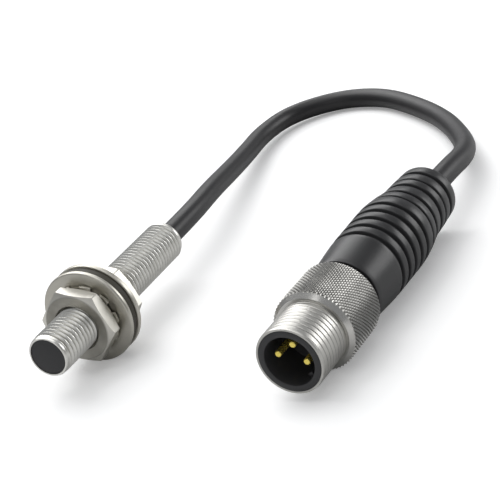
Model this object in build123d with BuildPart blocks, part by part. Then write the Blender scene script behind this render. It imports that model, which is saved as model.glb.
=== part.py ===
# An inductive proximity sensor on a short lead, in millimetres.
#
# The sensor is a threaded tube that lies along +Y, with its sensing face at the -Y end.
# Two hexagon nuts, three rings and a toothed lock washer clamp it to a panel.  The lead
# leaves the rear end, turns round on the bench and ends in a round male plug whose
# knurled coupling screw turns freely.  The bench is Z = 0, and the origin is on it,
# below the middle of the sensor.
import os
from math import cos, pi, radians, sin, sqrt, tan

from build123d import *

os.makedirs("parts", exist_ok=True)

# --- driving dimensions: the sensor ---------------------------------------------------
THREAD_R = 4.0  # M8 x 1 barrel, over the crests
BARREL_LENGTH = 44.0
BARREL_BORE_R = 3.25
BARREL_CHAMFER = 0.45
POCKET_R = 3.45  # seat of the sensing face in the barrel's mouth
POCKET_DEPTH = 1.2
WASHER_R = 9.0
WASHER_THICKNESS = 1.0
SEAL_R = 8.7
SEAL_THICKNESS = 1.6
NUT_ACROSS_FLATS = 13.0
FRONT_NUT_THICKNESS = 2.9
REAR_NUT_THICKNESS = 4.0
NUT_CORNER_BREAK = 0.5
FRONT_NUT_TURN, REAR_NUT_TURN = 13.0, 10.0  # degrees, where each nut was left
THREAD_CLEARANCE = 0.05  # radial, between the barrel and what turns on it
RING_CLEARANCE = 0.2  # radial, between the barrel and the plain rings
TOOTH_COUNT = 10
TOOTH_TIP_R = 7.3
TOOTH_ROOT_R = 5.9
LOCK_THICKNESS = 1.0

# --- driving dimensions: the lead -----------------------------------------------------
LEAD_R = 2.2
WIRE_R = 0.5
WIRE_RING_R = 1.05  # the three insulated wires lie on this circle inside the lead

# --- driving dimensions: the plug -----------------------------------------------------
SCREW_THREAD_R = 5.95  # M12 x 1
SCREW_THREAD_LENGTH = 8.6
SCREW_BORE_R = 5.25
KNURL_R = 7.45
KNURL_END = 19.9  # distance of the knurl's back edge from the plug's mouth
KNURL_CHAMFER = 0.6
CARRIER_LIP_R = 5.6
CARRIER_LIP_LENGTH = 0.8
CARRIER_R = 5.15
CARRIER_END = 26.0
CAVITY_R = 4.35
CAVITY_DEPTH = 8.0
KEY_WIDTH = 1.0
KEY_HEIGHT = 0.7
PIN_RING_R = 2.5
PIN_R = 0.5
PIN_TIP = 1.2
PIN_END = 22.0
PIN_CUP_R = 0.75
PIN_CUP_START = 18.0
PIN_ANGLES = (17.0, 197.0, 287.0)  # three of the four places of an M12 socket
KEY_ANGLE = 62.0
BOOT_START = 20.1
BOOT_END = 59.3
BOOT_NECK_R = 5.85
BOOT_SHOULDER = 21.2  # the neck behind the knurl ends here
# the boot's outer shape behind its neck: distance from the plug's mouth, radius
BOOT_OUTLINE = (
    (21.2, 6.45), (25.0, 6.76), (30.0, 7.1), (36.0, 7.2), (42.0, 7.25),
    (46.0, 6.85), (50.0, 6.2), (54.0, 6.05), (59.3, 5.75),
)
# each groove: middle, width, depth
GRIP_GROOVES = tuple((30.3 + 2.75 * i, 1.1, 0.75) for i in range(5))
TAIL_GROOVES = (
    (44.7, 0.6, 0.6), (47.5, 1.1, 0.7), (51.05, 1.1, 0.7), (53.55, 0.6, 0.6), (56.5, 1.1, 0.7),
)

PLUG_HEADING = 2.3  # degrees from +Y towards +X
PLUG_MOUTH = (47.6, -24.0)

# --- where things stand ---------------------------------------------------------------
AXIS_Z = WASHER_R  # the sensor lies on its two large washers
FACE_Y = -BARREL_LENGTH / 2
LOCK_START = 12.7  # distances from the sensing face, along the barrel
FRONT_WASHER = LOCK_START + LOCK_THICKNESS
SEAL_START = FRONT_WASHER + WASHER_THICKNESS
REAR_WASHER = SEAL_START + SEAL_THICKNESS
REAR_NUT = REAR_WASHER + WASHER_THICKNESS
FRONT_NUT = LOCK_START - FRONT_NUT_THICKNESS
NUT_CORNER_R = NUT_ACROSS_FLATS / sqrt(3)
NUT_FACE_R = NUT_CORNER_R - 1.6 * NUT_CORNER_BREAK  # the round face left by the broken corners

heading = (sin(radians(PLUG_HEADING)), cos(radians(PLUG_HEADING)), 0)
SENSOR = Plane(origin=(0, FACE_Y, AXIS_Z), x_dir=(1, 0, 0), z_dir=(0, 1, 0))
ALONG_SENSOR = Plane(origin=(0, FACE_Y, AXIS_Z), x_dir=(1, 0, 0), z_dir=(0, 0, 1))
PLUG = Plane(
    origin=(*PLUG_MOUTH, KNURL_R), x_dir=(heading[1], -heading[0], 0), z_dir=heading
)
lead_start = Vector(0, FACE_Y + BARREL_LENGTH, AXIS_Z)
lead_end = PLUG.from_local_coords(Vector(0, 0, BOOT_END))


def around(plane, radius, angle, along):
    """The point at that radius and angle about a plane's axis, that far along it."""
    turn = radians(angle)
    return plane.from_local_coords(Vector(radius * cos(turn), radius * sin(turn), along))


def turned(plane, start, end, outer, inner=0.0, mode=Mode.ADD):
    """Adds a turned ring or disc to the part in hand, or takes it away."""
    with BuildSketch(plane.offset(start), mode=Mode.PRIVATE) as face:
        Circle(outer)
        if inner:
            Circle(inner, mode=Mode.SUBTRACT)
    extrude(face.sketch, amount=end - start, mode=mode)


def rod(start, end, radius, mode=Mode.ADD):
    """Adds a straight round rod between two points, or takes it away."""
    with BuildSketch(Plane(origin=start, z_dir=end - start), mode=Mode.PRIVATE) as face:
        Circle(radius)
    extrude(face.sketch, amount=(end - start).length, mode=mode)


def rims(part, radius):
    """The circular edges of that radius."""
    found = part.edges().filter_by(GeomType.CIRCLE)
    return found.filter_by(lambda e: abs(e.radius - radius) < 1e-4)


def finish(part, name):
    part.label = name
    export_step(part, f"parts/{name}.step")
    return part


# --- the sensor's housing -------------------------------------------------------------
with BuildPart() as barrel:
    turned(SENSOR, 0, BARREL_LENGTH, THREAD_R, BARREL_BORE_R)
    turned(SENSOR, 0, POCKET_DEPTH, POCKET_R, mode=Mode.SUBTRACT)
    chamfer(rims(barrel, THREAD_R), BARREL_CHAMFER)
finish(barrel.part, "barrel")

CAP_FACE = 0.1  # the black face sits this far inside the barrel's mouth
CAP_WALL = 0.65
CAP_SKIRT_R = 3.2
CAP_CAVITY_R = 2.75
CAP_END = 8.0
with BuildPart() as face_cap:
    turned(SENSOR, CAP_FACE, POCKET_DEPTH, POCKET_R - 0.03)
    turned(SENSOR, POCKET_DEPTH, CAP_END, CAP_SKIRT_R)
    turned(SENSOR, CAP_FACE + CAP_WALL, CAP_END, CAP_CAVITY_R, mode=Mode.SUBTRACT)
finish(face_cap.part, "face_cap")

# --- the coil system, inside the cap ---------------------------------------------------
CORE_START = CAP_FACE + CAP_WALL
CORE_END = 3.6
CORE_R = 2.7
CORE_GROOVE = (1.05, 2.25)  # inner and outer radius of the winding space
CORE_GROOVE_END = 2.95
with BuildPart() as ferrite_core:
    turned(SENSOR, CORE_START, CORE_END, CORE_R)
    turned(SENSOR, CORE_START, CORE_GROOVE_END, CORE_GROOVE[1], CORE_GROOVE[0], Mode.SUBTRACT)
finish(ferrite_core.part, "ferrite_core")

BOBBIN_R = (1.08, 1.3, 2.2)  # bore, winding floor, flange
FLANGE = 0.25
BOBBIN_START, BOBBIN_END = CORE_START + 0.05, CORE_GROOVE_END - 0.05
with BuildPart() as coil_bobbin:
    turned(SENSOR, BOBBIN_START, BOBBIN_END, BOBBIN_R[1], BOBBIN_R[0])
    for flange_start in (BOBBIN_START, BOBBIN_END - FLANGE):
        turned(SENSOR, flange_start, flange_start + FLANGE, BOBBIN_R[2], BOBBIN_R[0])
finish(coil_bobbin.part, "coil_bobbin")

with BuildPart() as sensing_coil:
    turned(SENSOR, BOBBIN_START + FLANGE, BOBBIN_END - FLANGE, BOBBIN_R[2] - 0.1, BOBBIN_R[1])
finish(sensing_coil.part, "sensing_coil")

# --- the electronics -------------------------------------------------------------------
BOARD_START, BOARD_END = 3.8, 28.0
BOARD_WIDTH, BOARD_THICKNESS = 4.8, 0.8
with BuildPart() as circuit_board:
    with BuildSketch(SENSOR.offset(BOARD_START)):
        Rectangle(BOARD_WIDTH, BOARD_THICKNESS)
    extrude(amount=BOARD_END - BOARD_START)
finish(circuit_board.part, "circuit_board")

# each part on the board: start and end along it, width, height
CHIPS = ((5.0, 6.6, 1.2, 0.8), (8.0, 12.0, 3.2, 1.2), (13.4, 15.0, 2.4, 1.0), (16.4, 19.4, 2.8, 1.3),
         (20.8, 22.2, 1.4, 0.9), (24.0, 26.4, 2.6, 1.4))
with BuildPart() as board_components:
    for chip_start, chip_end, chip_width, chip_height in CHIPS:
        with BuildSketch(SENSOR.offset(chip_start)):
            with Locations((0, -(BOARD_THICKNESS + chip_height) / 2)):
                Rectangle(chip_width, chip_height)
        extrude(amount=chip_end - chip_start)
finish(board_components.part, "board_components")

# --- the rear seal and the wires -------------------------------------------------------
POTTING = (29.5, 38.5)
BUSH_START = 38.8
WIRE_NAMES = ("brown", "blue", "black")
sensor_wires = []
for wire_index, wire_name in enumerate(WIRE_NAMES):
    wire_angle = 90.0 + 120.0 * wire_index
    with BuildPart() as sensor_wire:
        rod(
            around(SENSOR, WIRE_RING_R, wire_angle, BOARD_END + 0.1),
            around(SENSOR, WIRE_RING_R, wire_angle, BARREL_LENGTH - 0.1),
            WIRE_R,
        )
    sensor_wires.append(finish(sensor_wire.part, f"sensor_wire_{wire_name}"))

with BuildPart() as potting_plug:
    turned(SENSOR, *POTTING, BARREL_BORE_R - 0.03)
    add(sensor_wires, mode=Mode.SUBTRACT)
finish(potting_plug.part, "potting_plug")

with BuildPart() as rear_bush:
    turned(SENSOR, BUSH_START, BARREL_LENGTH, BARREL_BORE_R - 0.03)
    add(sensor_wires, mode=Mode.SUBTRACT)
finish(rear_bush.part, "rear_bush")


# --- what clamps the barrel to a panel -------------------------------------------------
def hexagon_nut(start, thickness, turn):
    """A nut on the barrel, turned that many degrees, with its corners broken."""
    with BuildSketch(SENSOR.offset(start), mode=Mode.PRIVATE) as hexagon:
        RegularPolygon(NUT_CORNER_R, 6, rotation=turn)
    extrude(hexagon.sketch, amount=thickness)
    end = start + thickness
    with BuildSketch(ALONG_SENSOR, mode=Mode.PRIVATE) as blank:
        Polygon(
            (0, start), (NUT_FACE_R, start), (NUT_CORNER_R, start + NUT_CORNER_BREAK),
            (NUT_CORNER_R, end - NUT_CORNER_BREAK), (NUT_FACE_R, end), (0, end),
            align=None,
        )
    revolve(blank.sketch, axis=Axis(SENSOR.origin, SENSOR.z_dir), mode=Mode.INTERSECT)
    turned(SENSOR, start, end, THREAD_R + THREAD_CLEARANCE, mode=Mode.SUBTRACT)


with BuildPart() as front_nut:
    hexagon_nut(FRONT_NUT, FRONT_NUT_THICKNESS, FRONT_NUT_TURN)
finish(front_nut.part, "front_nut")

with BuildPart() as rear_nut:
    hexagon_nut(REAR_NUT, REAR_NUT_THICKNESS, REAR_NUT_TURN)
finish(rear_nut.part, "rear_nut")

tooth_width = 0.55 * 2 * pi * TOOTH_ROOT_R / TOOTH_COUNT
tooth_length = TOOTH_TIP_R - TOOTH_ROOT_R + 0.5
with BuildPart() as lock_washer:
    with BuildSketch(SENSOR.offset(LOCK_START)):
        Circle(TOOTH_ROOT_R)
        with PolarLocations(TOOTH_TIP_R - tooth_length / 2, TOOTH_COUNT):
            Rectangle(tooth_length, tooth_width)
        Circle(THREAD_R + RING_CLEARANCE, mode=Mode.SUBTRACT)
    extrude(amount=LOCK_THICKNESS)
finish(lock_washer.part, "lock_washer")

with BuildPart() as front_washer:
    turned(SENSOR, FRONT_WASHER, SEAL_START, WASHER_R, THREAD_R + RING_CLEARANCE)
    chamfer(rims(front_washer, WASHER_R), 0.15)
finish(front_washer.part, "front_washer")

with BuildPart() as seal_ring:
    turned(SENSOR, SEAL_START, REAR_WASHER, SEAL_R, THREAD_R + RING_CLEARANCE)
finish(seal_ring.part, "seal_ring")

with BuildPart() as rear_washer:
    turned(SENSOR, REAR_WASHER, REAR_NUT, WASHER_R, THREAD_R + RING_CLEARANCE)
    chamfer(rims(rear_washer, WASHER_R), 0.15)
finish(rear_washer.part, "rear_washer")

# --- the lead: straight out of the barrel, down to the bench and round to the plug -----
LEAD_RUN_IN = 11.0
PLUG_RUN_IN = 10.0
lead_route = [
    lead_start,
    lead_start + Vector(0, LEAD_RUN_IN, 0),
    Vector(-2.6, 47.4, 8.0),
    Vector(-5.4, 60.8, 6.2),
    Vector(-8.2, 74.2, 4.6),
    Vector(-11.2, 88.6, 3.4),
    Vector(-9.4, 101.4, 2.8),
    Vector(0.6, 108.4, 2.4),
    Vector(12.8, 106.2, 2.4),
    Vector(23.8, 97.8, 2.4),
    Vector(34.4, 87.2, 2.5),
    Vector(42.8, 74.4, 3.2),
    Vector(49.5, 60.4, 5.0),
    PLUG.from_local_coords(Vector(0, 0, BOOT_END + PLUG_RUN_IN)),
    lead_end,
]
runs = [b - a for a, b in zip(lead_route, lead_route[1:])]
turns = [radians(a.get_angle(b)) for a, b in zip(runs, runs[1:])]
radii = [
    0.45 * min(a.length, b.length) / tan(turn / 2)
    for a, b, turn in zip(runs, runs[1:], turns)
]
print("lead bend radii", [round(radius, 1) for radius in radii])

with BuildPart() as lead_jacket:
    with BuildLine() as lead_path:
        FilletPolyline(*lead_route, radius=radii)
    with BuildSketch(Plane(origin=lead_start, z_dir=runs[0])):
        Circle(LEAD_R)
    sweep(path=lead_path.wires()[0])
lead_length = lead_path.wires()[0].length
lead_volume = pi * LEAD_R**2 * lead_length
print("lead length", round(lead_length, 2), "volume ratio", round(lead_jacket.part.volume / lead_volume, 4))
finish(lead_jacket.part, "lead_jacket")

# --- the plug ---------------------------------------------------------------------------
with BuildPart() as contact_pins:
    for pin_angle in PIN_ANGLES:
        rod(
            around(PLUG, PIN_RING_R, pin_angle, PIN_TIP),
            around(PLUG, PIN_RING_R, pin_angle, PIN_END),
            PIN_R,
        )
        rod(
            around(PLUG, PIN_RING_R, pin_angle, PIN_CUP_START),
            around(PLUG, PIN_RING_R, pin_angle, PIN_END),
            PIN_CUP_R,
        )
    pin_tips = contact_pins.edges().filter_by(GeomType.CIRCLE).sort_by(Axis((0, 0, 0), heading))[:3]
    fillet(pin_tips, PIN_R * 0.8)
finish(contact_pins.part, "contact_pins")

plug_wires = []
for wire_index, wire_name in enumerate(WIRE_NAMES):
    with BuildPart() as plug_wire:
        rod(
            around(PLUG, PIN_RING_R, PIN_ANGLES[wire_index], PIN_END + 0.05),
            around(PLUG, WIRE_RING_R, PIN_ANGLES[wire_index], BOOT_END - 0.1),
            WIRE_R,
        )
    plug_wires.append(finish(plug_wire.part, f"plug_wire_{wire_name}"))

with BuildPart() as contact_carrier:
    turned(PLUG, 0, CARRIER_LIP_LENGTH, CARRIER_LIP_R)
    turned(PLUG, CARRIER_LIP_LENGTH, CARRIER_END, CARRIER_R)
    turned(PLUG, 0, CAVITY_DEPTH, CAVITY_R, mode=Mode.SUBTRACT)
    with BuildSketch(PLUG.offset(0.6)):
        with PolarLocations(CAVITY_R - KEY_HEIGHT / 2 + 0.1, 1, KEY_ANGLE):
            Rectangle(KEY_HEIGHT + 0.2, KEY_WIDTH)
    extrude(amount=CAVITY_DEPTH)
    add(contact_pins.part, mode=Mode.SUBTRACT)
    add(plug_wires, mode=Mode.SUBTRACT)
finish(contact_carrier.part, "contact_carrier")

with BuildPart() as coupling_screw:
    turned(PLUG, 0.1, SCREW_THREAD_LENGTH, SCREW_THREAD_R)
    turned(PLUG, SCREW_THREAD_LENGTH, KNURL_END, KNURL_R)
    chamfer(rims(coupling_screw, KNURL_R), KNURL_CHAMFER)
    turned(PLUG, 0, KNURL_END, SCREW_BORE_R, mode=Mode.SUBTRACT)
    turned(PLUG, 0, CARRIER_LIP_LENGTH + 0.1, CARRIER_LIP_R + 0.08, mode=Mode.SUBTRACT)
finish(coupling_screw.part, "coupling_screw")

with BuildPart() as grip_boot:
    with BuildSketch(Plane(origin=PLUG.origin, x_dir=PLUG.x_dir, z_dir=PLUG.y_dir)) as boot_half:
        with BuildLine():
            outline = Spline(*[(radius, -along) for along, radius in BOOT_OUTLINE])
            Polyline(
                outline @ 1, (0, -BOOT_END), (0, -BOOT_START), (BOOT_NECK_R, -BOOT_START),
                (BOOT_NECK_R, -BOOT_SHOULDER), outline @ 0,
            )
        make_face()
    revolve(axis=Axis(PLUG.origin, heading))
    for middle, groove_width, groove_depth in GRIP_GROOVES + TAIL_GROOVES:
        floor_r = outline.position_at(
            (middle - BOOT_SHOULDER) / (BOOT_END - BOOT_SHOULDER)
        ).X - groove_depth
        turned(
            PLUG, middle - groove_width / 2, middle + groove_width / 2,
            WASHER_R, floor_r, Mode.SUBTRACT,
        )
    turned(PLUG, BOOT_START, CARRIER_END, CARRIER_R, mode=Mode.SUBTRACT)
    add(plug_wires, mode=Mode.SUBTRACT)
finish(grip_boot.part, "grip_boot")
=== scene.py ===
# %% [markdown]
# # A proximity sensor on its lead
# This lesson dresses a small machine part: a threaded metal tube with a black sensing
# face, held by two nuts and three rings, and a short lead that ends in a round plug.
# The measured model arrives first, and every piece is built around the same two axes
# that it was drawn on, so nothing has to be fitted by eye.

from math import ceil, cos, hypot, pi, radians, sin

import bmesh
import bpy
from mathutils import Matrix, Vector


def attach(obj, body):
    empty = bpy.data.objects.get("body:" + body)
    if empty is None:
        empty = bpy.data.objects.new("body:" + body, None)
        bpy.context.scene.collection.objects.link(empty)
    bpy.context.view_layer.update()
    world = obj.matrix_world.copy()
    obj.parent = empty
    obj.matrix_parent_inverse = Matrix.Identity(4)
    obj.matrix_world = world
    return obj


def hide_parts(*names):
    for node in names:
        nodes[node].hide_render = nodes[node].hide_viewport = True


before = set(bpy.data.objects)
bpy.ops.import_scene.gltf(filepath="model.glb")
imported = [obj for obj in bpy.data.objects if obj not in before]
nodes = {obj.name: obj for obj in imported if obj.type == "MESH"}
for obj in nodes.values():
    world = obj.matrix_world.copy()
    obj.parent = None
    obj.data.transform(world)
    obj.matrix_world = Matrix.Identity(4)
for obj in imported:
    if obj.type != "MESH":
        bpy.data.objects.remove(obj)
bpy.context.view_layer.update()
print("measured pieces:", len(nodes))

# %% [markdown]
# ## The two axes
# The sensor and the plug are both turned parts, so each has one axis that everything is
# measured along. A piece is built standing on +Z in millimetres, with zero at the
# sensing face or at the plug's mouth, and one matrix then lays it down in its place.

# %% Units and the two places
MM = 0.001
WELD = 2e-6  # metres, closer than any two real corners
LYING_DOWN = Matrix.Rotation(radians(-90), 4, "X")
SENSOR_ORIGIN = Vector((0, -22, 9)) * MM
PLUG_ORIGIN = Vector((47.6, -24, 7.45)) * MM
PLUG_HEADING = -2.3  # degrees about Z
SENSOR_PLACE = Matrix.Translation(SENSOR_ORIGIN) @ LYING_DOWN
PLUG_PLACE = (
    Matrix.Translation(PLUG_ORIGIN) @ Matrix.Rotation(radians(PLUG_HEADING), 4, "Z") @ LYING_DOWN
)
print("plug points along", (PLUG_PLACE.to_3x3() @ Vector((0, 0, 1))).to_tuple(3))

# %% [markdown]
# ## The camera
# A small part is usually pictured from some distance with a long lens, so that its far
# end isn't much smaller than its near end. The camera is turned round the part, tipped
# down at the bench and rolled, which lets the two ends run up the picture like a pair.

# %% Camera
CAMERA_PLACE = Vector((161.5, -204.4, 112.9)) * MM
CAMERA_TURN, CAMERA_DIP, CAMERA_ROLL = 32.387, 21.855, -17.843  # degrees
CAMERA_LENS = 109.85  # mm, on a sensor 36 mm wide
camera = bpy.data.objects.new("camera", bpy.data.cameras.new("camera"))
camera.data.sensor_width = 36
camera.data.lens = CAMERA_LENS
camera.data.clip_start = 0.01
camera.matrix_world = (
    Matrix.Translation(CAMERA_PLACE)
    @ Matrix.Rotation(radians(CAMERA_TURN), 4, "Z")
    @ Matrix.Rotation(radians(90 - CAMERA_DIP), 4, "X")
    @ Matrix.Rotation(radians(CAMERA_ROLL), 4, "Z")
)
scene = bpy.context.scene
scene.collection.objects.link(camera)
scene.camera = camera
print("camera stands", round(CAMERA_PLACE.length, 3), "m from the origin")

# %% [markdown]
# ## The lead's line
# The lead leaves the tube straight, comes down to the bench, turns round in one loop and
# climbs into the plug. A NURBS curve bends evenly between its control points, as a
# rubber sheath does, so the route is a short list of points and the curve does the rest.
# The order and the end points are set after the points, because a spline that has none
# yet can't take an order of 3. The thickness is each point's own radius, so that the
# curve's box is as large as the lead and no larger.

# %% The lead
LEAD_R = 2.2
LEAD_RUN_IN, PLUG_RUN_IN = 11.0, 10.0
BOOT_END = 59.3
BARREL_LENGTH = 44.0


def on_axis(place, along):
    """The point that far along a place's axis, in metres."""
    return place @ Vector((0, 0, along * MM))


lead_exit = on_axis(SENSOR_PLACE, BARREL_LENGTH)
BENCH_ROUTE = (
    (-2.6, 47.4, 8.0),
    (-5.4, 60.8, 6.2),
    (-8.2, 74.2, 4.6),
    (-11.2, 88.6, 3.4),
    (-9.4, 101.4, 2.8),
    (0.6, 108.4, 2.4),
    (12.8, 106.2, 2.4),
    (23.8, 97.8, 2.4),
    (34.4, 87.2, 2.5),
    (42.8, 74.4, 3.2),
    (49.5, 60.4, 5.0),
)
route = [lead_exit, on_axis(SENSOR_PLACE, BARREL_LENGTH + LEAD_RUN_IN)]
route += [Vector(point) * MM for point in BENCH_ROUTE]
route += [on_axis(PLUG_PLACE, BOOT_END + PLUG_RUN_IN), on_axis(PLUG_PLACE, BOOT_END)]

lead_curve = bpy.data.curves.new("lead", "CURVE")
lead_curve.dimensions = "3D"
lead_curve.resolution_u = 24
lead_curve.bevel_depth = 1.0
lead_curve.bevel_resolution = 8
lead_curve.use_fill_caps = True
spline = lead_curve.splines.new("NURBS")
spline.points.add(len(route) - 1)
for point, place in zip(spline.points, route):
    point.co = (*place, 1)
    point.radius = LEAD_R * MM
spline.order_u = 3
spline.use_endpoint_u = True
spline.use_smooth = True
lead = bpy.data.objects.new("lead", lead_curve)
scene.collection.objects.link(lead)
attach(lead, "sensor")
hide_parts("lead_jacket")
print("lead route has", len(route), "points")

# %% [markdown]
# ## Arithmetic on sockets
# A procedural finish is mostly sums: a noise times a little, plus a base value. Writing
# them as Python expressions keeps them readable, so a wrapped socket adds a Math node
# whenever it meets an operator. Every other node comes from one method.


# %% Finish and Wire
class Wire:
    """An output socket that can be used in sums."""

    def __init__(self, finish, socket):
        self.finish = finish
        self.socket = socket

    def math(self, operation, *others, clamp=False):
        settings = {"operation": operation, "use_clamp": clamp}
        return self.finish.node("Math", settings, dict(enumerate((self, *others))))

    def __add__(self, other):
        return self.math("ADD", other)

    def __sub__(self, other):
        return self.math("SUBTRACT", other)

    def __rsub__(self, other):
        return (self * -1) + other

    def __mul__(self, other):
        return self.math("MULTIPLY", other)

    def __truediv__(self, other):
        return self.math("DIVIDE", other)

    __radd__ = __add__
    __rmul__ = __mul__

    def ramp(self, low, high):
        """0 below low, 1 above high, and straight between."""
        return ((self - low) / (high - low)).math("ADD", 0.0, clamp=True)


class Finish:
    """One material: its node tree, its coordinates and its shader."""

    def __init__(self, name, place=None):
        self.material = bpy.data.materials.new(name)
        self.material.use_nodes = True
        self.tree = self.material.node_tree
        self.shader = self.tree.nodes["Principled BSDF"]
        self.here = self.node("TexCoord", output="Object")
        if place is not None:
            turn = place.to_euler()
            settings = {"vector_type": "TEXTURE"}
            values = {"Vector": self.here, "Location": place.translation, "Rotation": turn}
            self.here = self.node("Mapping", settings, values)

    def node(self, kind, settings=None, values=None, output=0):
        made = self.tree.nodes.new("ShaderNode" + kind)
        for key, value in (settings or {}).items():
            setattr(made, key, value)
        for key, value in (values or {}).items():
            self.join(value, made.inputs[key])
        return Wire(self, made.outputs[output])

    def join(self, value, socket):
        if isinstance(value, Wire):
            self.tree.links.new(value.socket, socket)
        else:
            socket.default_value = value

    def set(self, **values):
        for key, value in values.items():
            self.join(value, self.shader.inputs[key.replace("_", " ")])
        return self

    def noise(self, size, detail=3.0, stretch=(1, 1, 1)):
        """A noise whose blobs are about that many millimetres across."""
        scaled = {0: self.here, 1: stretch}
        where = self.node("VectorMath", {"operation": "MULTIPLY"}, scaled)
        values = {"Vector": where, "Scale": 1 / (size * MM), "Detail": detail}
        return self.node("TexNoise", {}, values)

    def blend(self, amount, first, second):
        """A colour between two others."""
        values = {"Factor": amount, "A": (*first, 1), "B": (*second, 1)}
        mix = self.tree.nodes.new("ShaderNodeMix")
        mix.data_type = "RGBA"
        sockets = {s.identifier: s for s in mix.inputs}
        self.join(values["Factor"], sockets["Factor_Float"])
        self.join(values["A"], sockets["A_Color"])
        self.join(values["B"], sockets["B_Color"])
        colours = [s for s in mix.outputs if s.identifier == "Result_Color"]
        return Wire(self, colours[0])

    def bump(self, height, depth, strength=1.0):
        """Raises the surface by height, from 0 to 1, times depth in millimetres."""
        values = {"Height": height, "Distance": depth * MM, "Strength": strength}
        return self.node("Bump", {}, values)

    def from_axis(self):
        """How far a point is from the place's axis, in millimetres."""
        flat = self.node("VectorMath", {"operation": "MULTIPLY"}, {0: self.here, 1: (1, 1, 0)})
        return self.node("VectorMath", {"operation": "LENGTH"}, {0: flat}, "Value") / MM

    def along_axis(self):
        """How far a point is along the place's axis, in millimetres."""
        return self.node("SeparateXYZ", {}, {0: self.here}, "Z") / MM


print("sums on sockets are ready")

# %% [markdown]
# ## Nickel plate
# Every metal piece here is brass with a satin nickel plate, a little warmer than chrome.
# Plate is never one even grey: it clouds slightly, it shows the lathe's fine grain, and
# what was turned keeps rings round its axis. In the bottoms of threads and knurls, and
# on the nuts' end faces, the colour is painted darker as shade and the gloss goes.


# %% Nickel finishes
def nickel(name, place, colour, shade, roughness, painted_shade_radii=None, rings=0.0, ring_pitch=0.2, begin=0.5):
    """Satin nickel with painted shade between two radii from begin on; rings is how deep its turned
    rings are.
    """
    finish = Finish(name, place)
    cloud = finish.noise(2.6, 4.0)
    grain = finish.noise(0.09, 2.0)
    cloud_and_painted_shade = (cloud - 0.35) * 0.5
    radius, along = finish.from_axis(), finish.along_axis()
    if painted_shade_radii:
        # painted shade: darker and less glossy between the two radii, in thread roots, knurl valleys and
        # on the nuts' end faces
        cloud_and_painted_shade = cloud_and_painted_shade + (1 - radius.ramp(*painted_shade_radii)) * along.ramp(begin, begin + 0.3) * 0.75
    cloud_and_painted_shade = cloud_and_painted_shade.math("ADD", 0.0, clamp=True)
    line = (radius + along * 0.6) * (2 * pi / ring_pitch)
    waver = finish.noise(0.5, 1.0) * 3.0
    ring = (line + waver).math("SINE") * 0.5 + 0.5
    height = grain * (1.0 - rings) + ring * rings
    finish.set(
        Base_Color=finish.blend(cloud_and_painted_shade, colour, shade),
        Metallic=1.0,
        Roughness=grain * 0.12 + cloud_and_painted_shade * 0.16 + (roughness - 0.06),
        Normal=finish.bump(height, 0.006, 0.55),
    )
    return finish.material


WARM_NICKEL = (0.86, 0.85, 0.81)
# the colour of the painted shade in the barrel's thread roots
SHADED_NICKEL = (0.4, 0.39, 0.35)
BARREL_ROOT_R = 3.46
SCREW_ROOT_R = 5.88
KNURL_R, KNURL_ROOT_R = 7.45, 7.14
NUT_FACE_R = 6.1
# painted shade in the barrel's thread roots
plated_barrel = nickel(
    "plated_barrel", SENSOR_PLACE, WARM_NICKEL, SHADED_NICKEL, 0.29, (BARREL_ROOT_R, 3.85)
)
plated_hardware = nickel(
    "plated_hardware", SENSOR_PLACE, (0.6, 0.58, 0.52), (0.36, 0.345, 0.3), 0.38, None, 0.55
)
# painted shade on the nuts' end faces, inside NUT_FACE_R to 6.4 mm, so they read darker than the flats
plated_nut = nickel(
    "plated_nut", SENSOR_PLACE, (0.76, 0.74, 0.68), (0.28, 0.27, 0.24), 0.36, (NUT_FACE_R, 6.4), 0.5, 0.3
)
# painted shade in the screw thread's grooves
plated_thread = nickel(
    "plated_thread", PLUG_PLACE, (0.6, 0.59, 0.56), (0.14, 0.137, 0.125), 0.34,
    (SCREW_ROOT_R, 5.94), 0.3, 0.13,
)
# painted shade in the knurl's valleys
plated_knurl = nickel(
    "plated_knurl", PLUG_PLACE, (0.68, 0.67, 0.64), (0.07, 0.068, 0.064), 0.22,
    (KNURL_ROOT_R, 7.42), begin=9.4,
)
print("nickel finishes:", plated_barrel.name, plated_hardware.name, plated_knurl.name)

# %% [markdown]
# ## Plastics, rubber and gold
# The black pieces differ more in gloss than in colour: the sensing face is a fine matt
# moulding, the plug's insert is satin, the boot is an even satin rubber and the sheath
# of the lead is softer still. Each one gets a slow cloud in its colour, and a grain in
# its gloss and its height at the size of the real texture.


# %% Moulded and rubber finishes
def moulded(name, colour, paler, roughness, grain_size=0.12, grain_depth=0.012, place=None):
    """A plastic or rubber between two close colours, with a fine grain."""
    finish = Finish(name, place)
    cloud = finish.noise(3.5, 3.0)
    grain = finish.noise(grain_size, 3.0)
    finish.set(
        Base_Color=finish.blend(cloud * 0.7 + grain * 0.3, colour, paler),
        Roughness=cloud * 0.08 + grain * 0.1 + (roughness - 0.09),
        Normal=finish.bump(grain, grain_depth, 0.5),
    )
    return finish.material


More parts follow.
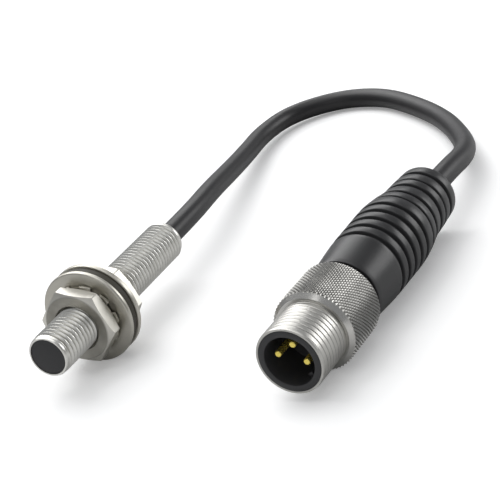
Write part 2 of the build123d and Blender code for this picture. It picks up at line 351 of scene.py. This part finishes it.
black_cap = moulded("black_cap", (0.018, 0.018, 0.019), (0.026, 0.026, 0.028), 0.5)
black_carrier = moulded("black_carrier", (0.022, 0.022, 0.023), (0.03, 0.03, 0.032), 0.45)
black_boot = moulded("black_boot", (0.014, 0.014, 0.015), (0.022, 0.022, 0.023), 0.34, 0.16)
lead_sheath = moulded("lead_sheath", (0.007, 0.007, 0.008), (0.013, 0.012, 0.013), 0.42, 0.2)
seal_rubber = moulded("seal_rubber", (0.03, 0.026, 0.018), (0.05, 0.044, 0.03), 0.6, 0.15)
potting_resin = moulded("potting_resin", (0.1, 0.08, 0.05), (0.14, 0.11, 0.07), 0.35, 0.6)
chip_black = moulded("chip_black", (0.03, 0.03, 0.03), (0.045, 0.045, 0.045), 0.5, 0.06)
bobbin_plastic = moulded("bobbin_plastic", (0.8, 0.78, 0.7), (0.86, 0.84, 0.77), 0.45)
ferrite = moulded("ferrite", (0.07, 0.07, 0.072), (0.12, 0.12, 0.12), 0.6, 0.05, 0.02)
wire_brown = moulded("wire_brown", (0.2, 0.09, 0.04), (0.26, 0.12, 0.06), 0.4)
wire_blue = moulded("wire_blue", (0.02, 0.1, 0.4), (0.04, 0.14, 0.48), 0.4)
wire_black = moulded("wire_black", (0.016, 0.016, 0.016), (0.026, 0.026, 0.026), 0.4)
board_green = moulded("board_green", (0.03, 0.19, 0.08), (0.05, 0.26, 0.12), 0.3, 0.3)
print("the lead's sheath is", lead_sheath.name)


# %% Metals that are not nickel
def small_metal(name, colour, dull_colour, roughness, band=None):
    """A bare or gold-plated metal; band is the pitch in mm of turns wound round the sensor's axis."""
    finish = Finish(name, SENSOR_PLACE if band else None)
    cloud = finish.noise(0.8, 3.0)
    height = finish.noise(0.08, 2.0)
    if band:
        height = (finish.along_axis() * (2 * pi / band)).math("SINE") * 0.5 + 0.5
    finish.set(
        Base_Color=finish.blend(cloud, colour, dull_colour),
        Metallic=0.85,
        Roughness=cloud * 0.15 + (roughness - 0.07),
        Normal=finish.bump(height, 0.01, 0.5),
    )
    return finish.material


gold_contact = small_metal("gold_contact", (1.0, 0.84, 0.22), (0.98, 0.76, 0.14), 0.26)
copper_winding = small_metal("copper_winding", (0.75, 0.33, 0.14), (0.6, 0.24, 0.09), 0.3, 0.1)
print("contacts are", gold_contact.name)

# %% [markdown]
# ## Turning on the lathe
# Most of these pieces really are turned on a lathe, and Blender's spin does the same
# job: a profile is drawn once beside the axis and swept round it. A profile that starts
# and ends on the axis becomes a solid end; one that closes on itself becomes a ring.
# Real edges are never knife sharp, so the sharp ones are bevelled afterwards.


# %% Lathe tools
def profile(points):
    """A chain of edges beside the axis, through points of (along, radius) in mm."""
    bm = bmesh.new()
    verts = [bm.verts.new((radius * MM, 0, along * MM)) for along, radius in points]
    for first, second in zip(verts, verts[1:]):
        bm.edges.new((first, second))
    return bm


def weld(bm):
    bmesh.ops.remove_doubles(bm, verts=bm.verts, dist=WELD)
    bmesh.ops.dissolve_degenerate(bm, edges=bm.edges, dist=WELD / 4)


def lathe(points, steps=96, bm=None):
    """Spins a profile once round the axis; a ring's points end where they began."""
    bm = bm or profile(points)
    bmesh.ops.spin(
        bm, geom=bm.verts[:] + bm.edges[:], cent=(0, 0, 0), axis=(0, 0, 1),
        angle=2 * pi, steps=steps, use_merge=True,
    )
    weld(bm)
    bmesh.ops.recalc_face_normals(bm, faces=bm.faces)
    return bm


def soften(bm, amount, segments=2, above=35):
    """Rounds every edge that is sharper than that angle in degrees."""
    sharp = [
        edge for edge in bm.edges
        if len(edge.link_faces) == 2 and edge.calc_face_angle() > radians(above)
    ]
    bmesh.ops.bevel(
        bm, geom=sharp, offset=amount * MM, offset_type="OFFSET", affect="EDGES",
        segments=segments, profile=0.5, material=-1, clamp_overlap=True,
    )
    return bm


def finished(bm, name, place, body, material, slot, *stands_for, sharp=38):
    """Lays the mesh in its place, shades it smooth up to sharp degrees, gives it to the frame."""
    bmesh.ops.recalc_face_normals(bm, faces=bm.faces)
    bm.transform(place)
    mesh = bpy.data.meshes.new(name)
    bm.to_mesh(mesh)
    bm.free()
    for polygon in mesh.polygons:
        polygon.use_smooth = True
    mesh.set_sharp_from_angle(angle=radians(sharp))
    mesh.materials.append(material)
    piece = bpy.data.objects.new(name, mesh)
    scene.collection.objects.link(piece)
    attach(piece, body)
    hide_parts(*stands_for)
    print(name, "has", len(mesh.polygons), "faces")
    return piece


# %% [markdown]
# ## Cutting a screw thread
# A thread is a spin that climbs: while the profile goes once round, it moves one pitch
# along, and its end then meets the next turn's beginning. Stacking the pitches in one
# chain makes the whole thread in a single spin. A real blank is turned to shape before
# the die cuts it, and the same two limits are used here: nothing stands outside the
# blank, and nothing is cut below the plain band at the mouth.


# %% Thread tools
THREAD_PITCH = 1.0  # millimetres, for both; assumed, the real threads may differ


def climb(tooth, start, end, steps=80):
    """A thread's open surface. tooth is (share of the pitch, radius) pairs for one turn."""
    first = start - 1.5 * THREAD_PITCH
    count = ceil((end - first) / THREAD_PITCH) + 1
    points = [
        (first + (turn + share) * THREAD_PITCH, radius)
        for turn in range(count) for share, radius in tooth
    ]
    bm = profile(points)
    bmesh.ops.spin(
        bm, geom=bm.verts[:] + bm.edges[:], cent=(0, 0, 0), axis=(0, 0, 1),
        dvec=(0, 0, THREAD_PITCH * MM / steps), angle=2 * pi, steps=steps, use_merge=False,
    )
    weld(bm)
    return bm


def between(stations, along):
    """The value at a point along a list of (along, value) pairs, straight between them."""
    for (a, low), (b, high) in zip(stations, stations[1:]):
        if along <= b:
            share = max(0.0, (along - a) / (b - a))
            return low + share * (high - low)
    return stations[-1][1]


def blank(bm, inside, outside):
    """Keeps each vertex between two outlines of (along, radius)."""
    for vert in bm.verts:
        along, radius = vert.co.z / MM, hypot(vert.co.x, vert.co.y) / MM
        wanted = min(max(radius, between(inside, along)), between(outside, along))
        vert.co.x *= wanted / radius
        vert.co.y *= wanted / radius


def part_off(bm, start, end):
    """Cuts both ends square and returns their rims."""
    for along, side in ((start, "clear_inner"), (end, "clear_outer")):
        bmesh.ops.bisect_plane(
            bm, geom=bm.verts[:] + bm.edges[:] + bm.faces[:], dist=WELD / 10,
            plane_co=(0, 0, along * MM), plane_no=(0, 0, 1), **{side: True},
        )
    weld(bm)
    return open_rims(bm, (start + end) / 2)


def open_rims(bm, middle):
    """The open edges before and after that point along the axis."""
    rims = ([], [])
    for edge in bm.edges:
        if edge.is_boundary:
            rims[edge.verts[0].co.z > middle * MM].append(edge)
    return rims


def follow(bm, rim, stations):
    """Draws a rim on through (along, radius) stations and returns the last one."""
    for along, radius in stations:
        made = bmesh.ops.extrude_edge_only(bm, edges=rim)["geom"]
        fresh = {item for item in made if isinstance(item, bmesh.types.BMVert)}
        for vert in fresh:
            scale = radius * MM / hypot(vert.co.x, vert.co.y)
            vert.co = (vert.co.x * scale, vert.co.y * scale, along * MM)
        rim = [
            item for item in made
            if isinstance(item, bmesh.types.BMEdge) and fresh.issuperset(item.verts)
        ]
    return rim


print("thread tools are ready")

# %% [markdown]
# ## The threaded tube
# The sensor's housing is a tube with a fine thread all along, cut here at 1 mm a turn.
# Its crests are narrow and its roots are rounded, as a rolled thread's are. The mouth has
# a chamfered lip and a short plain band before the first crest, and inside it a step
# where the sensing face sits.

# %% Barrel
BARREL_TOOTH = (
    (0.0, 3.46), (0.1, 3.48), (0.19, 3.6), (0.41, 3.95), (0.46, 4.0),
    (0.54, 4.0), (0.59, 3.95), (0.81, 3.6), (0.9, 3.48),
)
POCKET_R, POCKET_DEPTH, BORE_R = 3.45, 1.2, 3.25
barrel_bm = climb(BARREL_TOOTH, 0, BARREL_LENGTH)
blank(
    barrel_bm,
    ((0, 3.88), (1.0, 3.88), (1.45, 3.3), (42.9, 3.3), (43.3, 3.75), (44, 3.75)),
    ((0, 3.7), (0.1, 3.79), (0.35, 3.93), (1.3, 4.0), (43.4, 4.0), (44, 3.62)),
)
front_rim, back_rim = part_off(barrel_bm, 0, BARREL_LENGTH)
mouth = follow(
    barrel_bm, front_rim,
    ((0, POCKET_R), (POCKET_DEPTH, POCKET_R), (POCKET_DEPTH, BORE_R)),
)
tail = follow(barrel_bm, back_rim, ((BARREL_LENGTH, BORE_R),))
bmesh.ops.bridge_loops(barrel_bm, edges=mouth + tail)
finished(
    barrel_bm, "threaded_barrel", SENSOR_PLACE, "sensor", plated_barrel, "plated_barrel", "barrel"
)

# %% Sensing face
CAP_STATIONS = (
    (0.1, 0), (0.1, 3.42), (POCKET_DEPTH, 3.42), (POCKET_DEPTH, 3.2), (8.0, 3.2),
    (8.0, 2.75), (0.75, 2.75), (0.75, 0),
)
cap_bm = soften(lathe(CAP_STATIONS), 0.12, 3)
finished(cap_bm, "sensing_face", SENSOR_PLACE, "sensor", black_cap, "black_cap", "face_cap")


# %% [markdown]
# ## The nuts
# A hexagon nut starts as a turned blank with a cone on each face. Six saw cuts then make
# its flats, and where a flat meets the cone it leaves the curved edge that every real
# nut has. Cutting with planes and filling the openings gives those arcs exactly. The
# hole is countersunk on both sides.


# %% Nuts
NUT_FLAT, NUT_CORNER_R = 6.5, 7.45
NUT_CONE, NUT_HOLE_R, COUNTERSINK = 0.6, 4.05, 0.4


def hexagon_nut(start, thickness, turn):
    """A nut from start on along the axis, one corner at that many degrees."""
    end = start + thickness
    hole = (NUT_HOLE_R + COUNTERSINK, NUT_HOLE_R)
    bm = lathe(
        (
            (start, hole[0]), (start, NUT_FACE_R), (start + NUT_CONE, NUT_CORNER_R),
            (end - NUT_CONE, NUT_CORNER_R), (end, NUT_FACE_R), (end, hole[0]),
            (end - COUNTERSINK, hole[1]), (start + COUNTERSINK, hole[1]), (start, hole[0]),
        ),
        steps=120,
    )
    for side in range(6):
        angle = radians(turn + 30 + 60 * side)
        normal = Vector((cos(angle), sin(angle), 0))
        bmesh.ops.bisect_plane(
            bm, geom=bm.verts[:] + bm.edges[:] + bm.faces[:], dist=WELD / 10,
            plane_co=normal * NUT_FLAT * MM, plane_no=normal, clear_outer=True,
        )
        bmesh.ops.holes_fill(bm, edges=[edge for edge in bm.edges if edge.is_boundary])
    return bm


NUTS = (("front_nut", 9.8, 2.9, 13), ("rear_nut", 17.3, 4.0, 10))
NUT_SHARP = 16  # degrees, so that the cones' shallow arcs stay crisp
for name, start, thickness, turn in NUTS:
    nut_bm = hexagon_nut(start, thickness, turn)
    finished(
        nut_bm, name + "_cut", SENSOR_PLACE, name, plated_nut, "plated_hardware", name,
        sharp=NUT_SHARP,
    )

# %% [markdown]
# ## Rings between the nuts
# Behind the front nut sits a toothed lock washer, then a thick washer with soft edges, a
# dark gasket, and a thinner washer against the rear nut. The plain ones are turned
# rectangles with rounded edges. The lock washer's teeth are pulled out of its rim and
# twisted a little, as the press leaves them, so that they bite both ways.

# %% Plain rings
RING_HOLE_R = 4.2


def ring(start, end, radius):
    return lathe(
        ((start, RING_HOLE_R), (start, radius), (end, radius), (end, RING_HOLE_R),
         (start, RING_HOLE_R)),
        steps=128,
    )


for name, body, start, end, radius, edge_r, material, slot in (
    ("front_washer", "front_rings", 13.7, 14.7, 9.0, 0.32, plated_hardware, "plated_hardware"),
    ("seal_ring", "rear_rings", 14.7, 16.3, 8.7, 0.25, seal_rubber, "seal_rubber"),
    ("rear_washer", "rear_rings", 16.3, 17.3, 9.0, 0.18, plated_hardware, "plated_hardware"),
):
    ring_bm = soften(ring(start, end, radius), edge_r, 4)
    finished(ring_bm, name + "_turned", SENSOR_PLACE, body, material, slot, name)

# %% Lock washer
TOOTH_COUNT, TOOTH_SPAN, TOOTH_TIP_R, TOOTH_TWIST = 10, 20, 6.75, 10
LOCK_MIDDLE, LOCK_HALF, LOCK_RIM_R = 13.2, 0.24, 5.9
lock_bm = lathe(
    (
        (LOCK_MIDDLE - LOCK_HALF, RING_HOLE_R), (LOCK_MIDDLE - LOCK_HALF, LOCK_RIM_R),
        (LOCK_MIDDLE + LOCK_HALF, LOCK_RIM_R), (LOCK_MIDDLE + LOCK_HALF, RING_HOLE_R),
        (LOCK_MIDDLE - LOCK_HALF, RING_HOLE_R),
    ),
    steps=72,
)
rim_faces = [
    face for face in lock_bm.faces
    if hypot(*face.calc_center_median().xy) > (LOCK_RIM_R - 0.1) * MM
]
for tooth in range(TOOTH_COUNT):
    angle = radians(tooth * 360 / TOOTH_COUNT)
    outwards = Vector((cos(angle), sin(angle), 0))
    root = [
        face for face in rim_faces
        if face.calc_center_median().xy.normalized().dot(outwards.xy) > cos(radians(TOOTH_SPAN / 2))
    ]
    made = bmesh.ops.extrude_face_region(lock_bm, geom=root)["geom"]
    tip = [item for item in made if isinstance(item, bmesh.types.BMVert)]
    bmesh.ops.translate(lock_bm, verts=tip, vec=outwards * (TOOTH_TIP_R - LOCK_RIM_R) * MM)
    bmesh.ops.rotate(
        lock_bm, verts=tip, cent=(0, 0, LOCK_MIDDLE * MM),
        matrix=Matrix.Rotation(radians(TOOTH_TWIST), 3, outwards),
    )
soften(lock_bm, 0.07, 2)
finished(
    lock_bm, "toothed_washer", SENSOR_PLACE, "front_rings", plated_hardware, "plated_hardware",
    "lock_washer",
)

# %% [markdown]
# ## The coupling screw
# The plug is screwed tight with a ring that has a fine thread in front and a knurled
# grip behind. Its thread has broad crests with narrow grooves. The knurl is two sets of
# grooves that cross, which leaves small pyramids: a plain grid is poked so that each
# cell gets a middle, the grid's own lines are dissolved so that diamonds are left, and
# the diamonds are poked once more and their middles lifted.

# %% Threaded front
SCREW_TOOTH = (
    (0.0, 5.88), (0.04, 5.89), (0.09, 5.94), (0.14, 5.95), (0.5, 5.95), (0.86, 5.95),
    (0.91, 5.94), (0.96, 5.89),
)
SCREW_START, SCREW_LENGTH, SCREW_BORE_R = 0.1, 8.7, 5.25
SEAT_R, SEAT_END = 5.5, 0.9  # where the insert's lip sits
screw_bm = climb(SCREW_TOOTH, SCREW_START, SCREW_LENGTH)
blank(
    screw_bm,
    ((0, 5.88), (1.15, 5.88), (1.5, 5.5), (8.7, 5.5)),
    ((0, 5.8), (0.15, 5.86), (0.4, 5.93), (1.2, 5.95), (8.7, 5.95)),
)
front_rim, back_rim = part_off(screw_bm, SCREW_START, SCREW_LENGTH)
mouth = follow(
    screw_bm, front_rim,
    ((SCREW_START, SEAT_R), (SEAT_END, SEAT_R), (SEAT_END, SCREW_BORE_R)),
)
tail = follow(screw_bm, back_rim, ((SCREW_LENGTH, SCREW_BORE_R),))
bmesh.ops.bridge_loops(screw_bm, edges=mouth + tail)
screw = finished(
    screw_bm, "coupling_thread", PLUG_PLACE, "coupling_screw", plated_thread, "plated_screw",
    "coupling_screw",
)

# %% Knurled grip
KNURL_START, KNURL_END = 8.6, 19.9
FRONT_FACE_R, BACK_FACE_R = 6.5, 6.8  # the radii of the grip's end faces
KNURL_COLUMNS, KNURL_ROWS = 62, 14
KNURL_FIRST, KNURL_LAST = 9.34, 19.5
row_height = (KNURL_LAST - KNURL_FIRST) / KNURL_ROWS
knurl_bm = lathe(
    [(KNURL_FIRST + row * row_height, KNURL_ROOT_R) for row in range(KNURL_ROWS + 1)],
    steps=KNURL_COLUMNS,
)
grid_lines = [edge for edge in knurl_bm.edges if not edge.is_boundary]


def lift(verts, radius):
    for vert in verts:
        scale = radius * MM / hypot(vert.co.x, vert.co.y)
        vert.co.x *= scale
        vert.co.y *= scale


middles = bmesh.ops.poke(knurl_bm, faces=knurl_bm.faces)["verts"]
lift(middles, KNURL_ROOT_R)
bmesh.ops.dissolve_edges(knurl_bm, edges=grid_lines, use_verts=False)
tips = bmesh.ops.poke(knurl_bm, faces=knurl_bm.faces)["verts"]
lift(tips, KNURL_R)
blank(
    knurl_bm,
    ((KNURL_START, 0), (KNURL_END, 0)),
    ((KNURL_START, FRONT_FACE_R), (9.7, KNURL_R), (19.2, KNURL_R), (KNURL_END, 6.85)),
)
front_rim, back_rim = open_rims(knurl_bm, (KNURL_START + KNURL_END) / 2)
mouth = follow(
    knurl_bm, front_rim,
    ((KNURL_START, FRONT_FACE_R), (KNURL_START, SCREW_BORE_R)),
)
tail = follow(
    knurl_bm, back_rim,
    ((KNURL_END - 0.1, BACK_FACE_R + 0.1), (KNURL_END, BACK_FACE_R), (KNURL_END, SCREW_BORE_R)),
)
bmesh.ops.bridge_loops(knurl_bm, edges=mouth + tail)
grip = finished(
    knurl_bm, "coupling_grip", PLUG_PLACE, "coupling_screw", plated_knurl, "plated_screw"
)

# %% [markdown]
# ## The insert and its pins
# Inside the screw a black insert carries three gold pins in a deep socket, with a key
# on the wall so that it only goes in one way round. The pins are turned, with
# rounded edges, and one turned pin is copied to the three places.

# %% Insert
CAVITY_R, CAVITY_DEPTH = 4.35, 8.0
CARRIER_STATIONS = (
    (CAVITY_DEPTH, 0), (CAVITY_DEPTH, CAVITY_R), (0, CAVITY_R), (0, 5.46), (0.8, 5.46),
    (0.8, 5.15), (26, 5.15), (26, 0),
)
KEY_ANGLE, KEY_SIZE, KEY_START = 62, (0.9, 1.0, 6.2), 2.0
insert_bm = soften(lathe(CARRIER_STATIONS), 0.12, 2)
key = bmesh.ops.create_cube(insert_bm, size=1)["verts"]
bmesh.ops.scale(insert_bm, verts=key, vec=Vector(KEY_SIZE) * MM)
key_edges = list({edge for vert in key for edge in vert.link_edges})
key_middle = Vector((CAVITY_R - KEY_SIZE[0] / 2 + 0.2, 0, KEY_START + KEY_SIZE[2] / 2))
bmesh.ops.translate(insert_bm, verts=key, vec=key_middle * MM)
bmesh.ops.rotate(
    insert_bm, verts=key, cent=(0, 0, 0), matrix=Matrix.Rotation(radians(KEY_ANGLE), 3, "Z")
)
bmesh.ops.bevel(
    insert_bm, geom=key_edges, offset=0.15 * MM, offset_type="OFFSET", affect="EDGES",
    segments=2, profile=0.5, material=-1,
)
insert = finished(
    insert_bm, "contact_insert", PLUG_PLACE, "sensor", black_carrier, "black_carrier",
    "contact_carrier",
)

# %% Contact pins
PIN_R, PIN_TIP, PIN_END, PIN_CUP_R, PIN_CUP_START = 0.6, 1.1, 22.0, 0.75, 18.0
PIN_RING_R = 2.5
PIN_ANGLES = (17, 197, 287)
NOSE_R, NOSE_STEPS = 0.24, 6
nose = [(PIN_TIP, 0)] + [
    (PIN_TIP + NOSE_R * (1 - cos(quarter)), PIN_R - NOSE_R * (1 - sin(quarter)))
    for quarter in (radians(90 * step / NOSE_STEPS) for step in range(NOSE_STEPS + 1))
]
pin_bm = lathe(
    nose + [(PIN_CUP_START, PIN_R), (PIN_CUP_START, PIN_CUP_R), (PIN_END, PIN_CUP_R), (PIN_END, 0)],
    steps=32,
)
first_pin = pin_bm.verts[:] + pin_bm.edges[:] + pin_bm.faces[:]
for angle in PIN_ANGLES:
    copied = bmesh.ops.duplicate(pin_bm, geom=first_pin)["geom"]
    verts = [item for item in copied if isinstance(item, bmesh.types.BMVert)]
    turn = Matrix.Rotation(radians(angle), 3, "Z")
    bmesh.ops.translate(pin_bm, verts=verts, vec=turn @ Vector((PIN_RING_R * MM, 0, 0)))
bmesh.ops.delete(pin_bm, geom=[v for v in first_pin if isinstance(v, bmesh.types.BMVert)])
pins = finished(
    pin_bm, "gold_pins", PLUG_PLACE, "sensor", gold_contact, "gold_contact", "contact_pins"
)

# %% [markdown]
# ## The boot
# A soft boot is moulded over the back of the plug. Behind a short neck its front is
# plain, then five even grooves give a grip, the shape draws in at a waist, and five
# grooves of two widths let the end bend with the lead. The outline is a smooth curve
# through a few points, and rounding the grooves' edges turns what is left into ribs.

# %% Boot
BOOT_START, BOOT_SHOULDER, BOOT_NECK_R = 20.1, 21.2, 5.85
BOOT_OUTLINE = (
    (21.2, 6.45), (25.0, 6.76), (30.0, 7.1), (36.0, 7.2), (42.0, 7.25),
    (46.0, 6.85), (50.0, 6.2), (54.0, 6.05), (59.3, 5.75),
)
# each groove: its middle, width and depth
GRIP_GROOVES = [(30.3 + 2.75 * index, 1.1, 0.75) for index in range(5)]
TAIL_GROOVES = [
    (44.7, 0.6, 0.6), (47.5, 1.1, 0.7), (51.05, 1.1, 0.7), (53.55, 0.6, 0.6), (56.5, 1.1, 0.7),
]
GROOVE_SLOPE = 0.12
OUTLINE_STEP = 1.1


def boot_radius(along):
    """The boot's outer radius: a smooth curve through the outline's points."""
    points = BOOT_OUTLINE
    index = sum(along >= place for place, _ in points[1:-1])
    (a, low), (b, high) = points[index], points[index + 1]
    before = points[max(index - 1, 0)]
    after = points[min(index + 2, len(points) - 1)]
    share = (along - a) / (b - a)
    leave = (high - before[1]) / (b - before[0]) * (b - a)
    arrive = (after[1] - low) / (after[0] - a) * (b - a)
    square, cube = share**2, share**3
    return (
        low * (2 * cube - 3 * square + 1) + leave * (cube - 2 * square + share)
        + high * (3 * square - 2 * cube) + arrive * (cube - square)
    )


outline = [
    (26, 0), (26, 5.2), (BOOT_START, 5.2), (BOOT_START, BOOT_NECK_R),
    (BOOT_SHOULDER, BOOT_NECK_R), (BOOT_SHOULDER, boot_radius(BOOT_SHOULDER)),
]
along = BOOT_SHOULDER + OUTLINE_STEP
for middle, width, depth in GRIP_GROOVES + TAIL_GROOVES:
    near, far = middle - width / 2, middle + width / 2
    while along < near - OUTLINE_STEP / 3:
        outline.append((along, boot_radius(along)))
        along += OUTLINE_STEP
    floor = boot_radius(middle) - depth
    outline += [
        (near, boot_radius(near)), (near + GROOVE_SLOPE, floor),
        (far - GROOVE_SLOPE, floor), (far, boot_radius(far)),
    ]
    along = far + OUTLINE_STEP
outline += [(BOOT_END, boot_radius(BOOT_END)), (BOOT_END, 2.9), (BOOT_END - 0.3, 2.5)]
outline += [(BOOT_END, 2.1), (BOOT_END, 0)]
boot_bm = soften(lathe(outline), 0.2, 3, 30)
boot = finished(boot_bm, "ribbed_boot", PLUG_PLACE, "sensor", black_boot, "black_boot", "grip_boot")

# %% [markdown]
# ## What stays as it was measured
# The coil, the board, the potting and the wires are closed inside and already have the
# right shape, so they only get better finishes.

# %% Finishes for the measured pieces
INNER_FINISHES = {
    "ferrite_core": ferrite, "coil_bobbin": bobbin_plastic, "sensing_coil": copper_winding,
    "circuit_board": board_green, "board_components": chip_black, "potting_plug": potting_resin,
    "rear_bush": black_cap, "sensor_wire_brown": wire_brown, "sensor_wire_blue": wire_blue,
    "sensor_wire_black": wire_black, "plug_wire_brown": wire_brown, "plug_wire_blue": wire_blue,
    "plug_wire_black": wire_black,
}
for name, material in INNER_FINISHES.items():
    for material_slot in nodes[name].material_slots:
        material_slot.material = material
print("finished", len(INNER_FINISHES), "inner pieces")

# %% The lead's sheath
lead_curve.materials.append(lead_sheath)

# %% [markdown]
# ## Bench and light
# The bench is a plain white sheet that runs out of sight. Small shiny parts show what is
# round them, so the lights are broad and soft: one high on the left and one overhead,
# two beyond the part that the nuts' flats and the round shapes mirror, a weak one in
# front, and a grey surround for the darker tones between them. The sheet glows a little
# to the camera, which lifts the shadows, and is greyer in what the metal mirrors.

# %% Floor
BENCH_HALF = 3  # metres
bench_bm = bmesh.new()
bmesh.ops.create_grid(bench_bm, x_segments=2, y_segments=2, size=BENCH_HALF)
bench_mesh = bpy.data.meshes.new("bench")
bench_bm.to_mesh(bench_mesh)
bench_bm.free()
bench = bpy.data.objects.new("bench", bench_mesh)
scene.collection.objects.link(bench)
paper = Finish("bench_paper")
paper_cloud = paper.noise(60, 2.0)
seen = paper.node("LightPath", output="Is Camera Ray")
mirrored = paper.node("LightPath", output="Is Glossy Ray")
paper.set(
    Base_Color=paper.blend(mirrored + paper_cloud * 0.05, (0.9, 0.9, 0.9), (0.62, 0.62, 0.62)),
    Roughness=0.9,
    Specular_IOR_Level=0.1,
    Emission_Color=paper.blend(seen, (0, 0, 0), (1, 1, 1)),
    Emission_Strength=0.22,
)
bench_mesh.materials.append(paper.material)
print("bench is", 2 * BENCH_HALF, "m across")


# %% Lights
def softbox(name, place, aim, width, height, power, colour=(1, 1, 1)):
    """A rectangular light that faces a point."""
    light = bpy.data.lights.new(name, "AREA")
    light.shape = "RECTANGLE"
    light.size = width
    light.size_y = height
    light.energy = power
    light.color = colour
    lamp = bpy.data.objects.new(name, light)
    lamp.location = place
    lamp.rotation_euler = (Vector(aim) - Vector(place)).to_track_quat("-Z", "Y").to_euler()
    scene.collection.objects.link(lamp)
    return lamp


MIDDLE = (0.02, 0.03, 0.01)
softbox("key", (-0.5, 0.25, 0.75), MIDDLE, 0.6, 0.9, 4.6)
softbox("side", (0.8, 0.9, 0.3), MIDDLE, 0.7, 0.5, 3.3)
softbox("front", (0.1, -0.9, 0.5), MIDDLE, 0.8, 0.3, 0.7)
softbox("top", (0.1, 0.1, 1.2), MIDDLE, 1.2, 1.2, 5.0)
softbox("back", (-0.45, 0.9, 0.65), MIDDLE, 0.8, 0.5, 3.2)
world = bpy.data.worlds.new("surround")
world.use_nodes = True
world.node_tree.nodes["Background"].inputs["Color"].default_value = (0.95, 0.97, 1.0, 1)
world.node_tree.nodes["Background"].inputs["Strength"].default_value = 0.3
scene.world = world
scene.view_settings.view_transform = "Standard"
